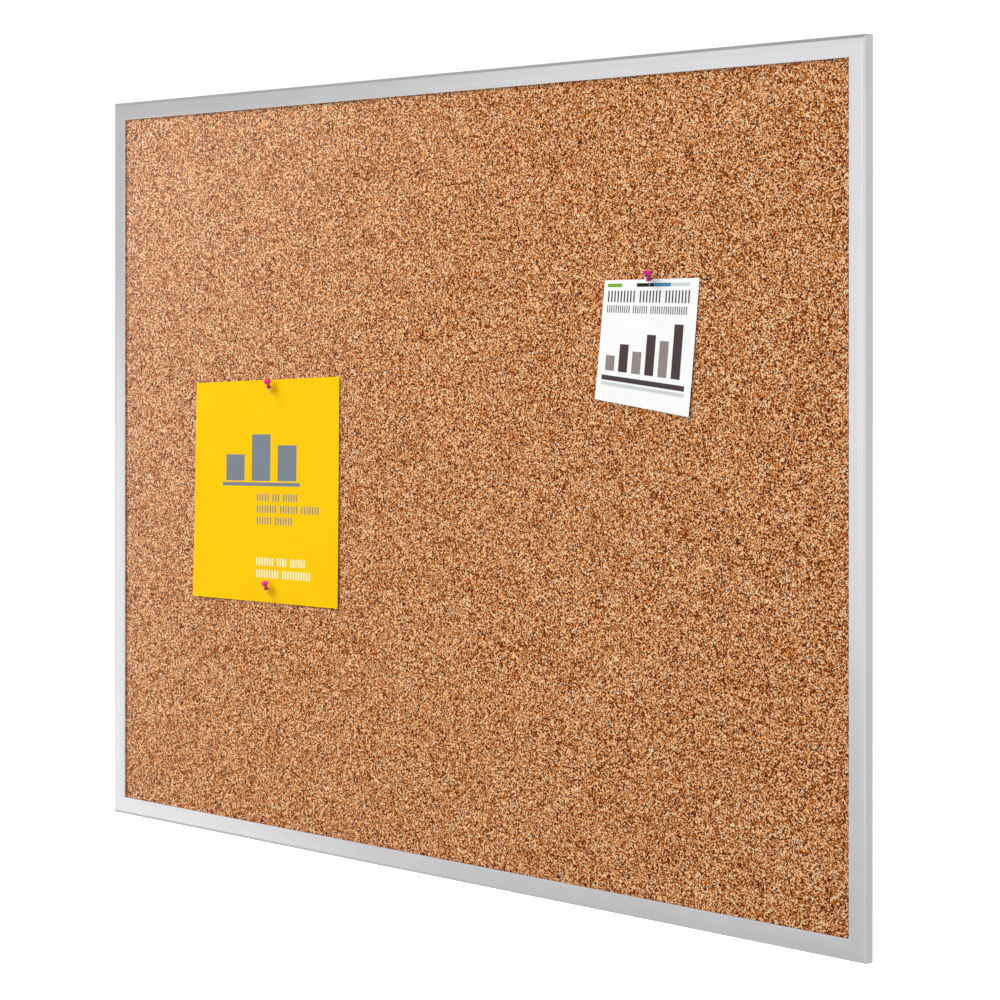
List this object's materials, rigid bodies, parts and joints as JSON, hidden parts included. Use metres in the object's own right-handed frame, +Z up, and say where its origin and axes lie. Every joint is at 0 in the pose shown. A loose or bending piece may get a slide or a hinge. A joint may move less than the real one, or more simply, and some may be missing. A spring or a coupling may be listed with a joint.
{
  "type": "cork bulletin board",
  "caption": "Wall-hung cork notice board in a mitred aluminium frame, with a large and a small notice held by push pins.",
  "frame": {"origin": "centre of the board on the wall plane, which is the centre of the four hanging keyholes", "axes": "+X along the width to the viewer's right, +Z up, +Y into the wall; the cork faces -Y"},
  "size_m": [1.2192, 0.0212, 0.9144],
  "materials": {
    "frame": "satin",
    "key_steel": "satin",
    "zinc_plate": "satin",
    "screw_steel": "satin",
    "cork": "matte",
    "fibreboard": "matte",
    "backing": "matte",
    "yellow_paper": "matte",
    "white_paper": "matte",
    "magenta_plastic": "gloss",
    "needle_steel": "polished"
  },
  "bodies": {
    "board": {"top_rail": "frame", "right_stile": "frame", "bottom_rail": "frame", "left_stile": "frame", "corner_key_top_right": "key_steel", "corner_key_top_left": "key_steel", "corner_key_bottom_right": "key_steel", "corner_key_bottom_left": "key_steel", "hanger_plate_top_right": "zinc_plate", "hanger_plate_top_left": "zinc_plate", "hanger_plate_bottom_right": "zinc_plate", "hanger_plate_bottom_left": "zinc_plate", "corner_screws": "screw_steel", "cork_sheet": "cork", "fibreboard_core": "fibreboard", "backing_sheet": "backing"},
    "large_notice": {"large_notice": "yellow_paper"},
    "upper_pin": {"upper_pin_grip": "magenta_plastic", "upper_pin_needle": "needle_steel"},
    "lower_pin": {"lower_pin_grip": "magenta_plastic", "lower_pin_needle": "needle_steel"},
    "small_pin": {"small_pin_grip": "magenta_plastic", "small_pin_needle": "needle_steel"},
    "small_notice": {"small_notice": "white_paper"}
  },
  "joints": [
    {"name": "large_notice_pull_off", "type": "slide", "parent": "board", "child": "large_notice", "axis": [0.2488, -0.4679, 0.848], "range_m": [0, 0.025]},
    {"name": "upper_pin_pull", "type": "slide", "parent": "large_notice", "child": "upper_pin", "axis": [0.2488, -0.4679, 0.848], "range_m": [0, 0.025]},
    {"name": "lower_pin_pull", "type": "slide", "parent": "large_notice", "child": "lower_pin", "axis": [0.2488, -0.4679, 0.848], "range_m": [0, 0.025]},
    {"name": "small_pin_pull", "type": "slide", "parent": "board", "child": "small_pin", "axis": [0.2488, -0.4679, 0.848], "range_m": [0, 0.025]},
    {"name": "small_notice_swing", "type": "hinge", "parent": "small_pin", "child": "small_notice", "pos_m": [0.32122, -0.00985, 0.21233], "axis": [0, 1, 0], "range_deg": [-90, 90]}
  ]
}
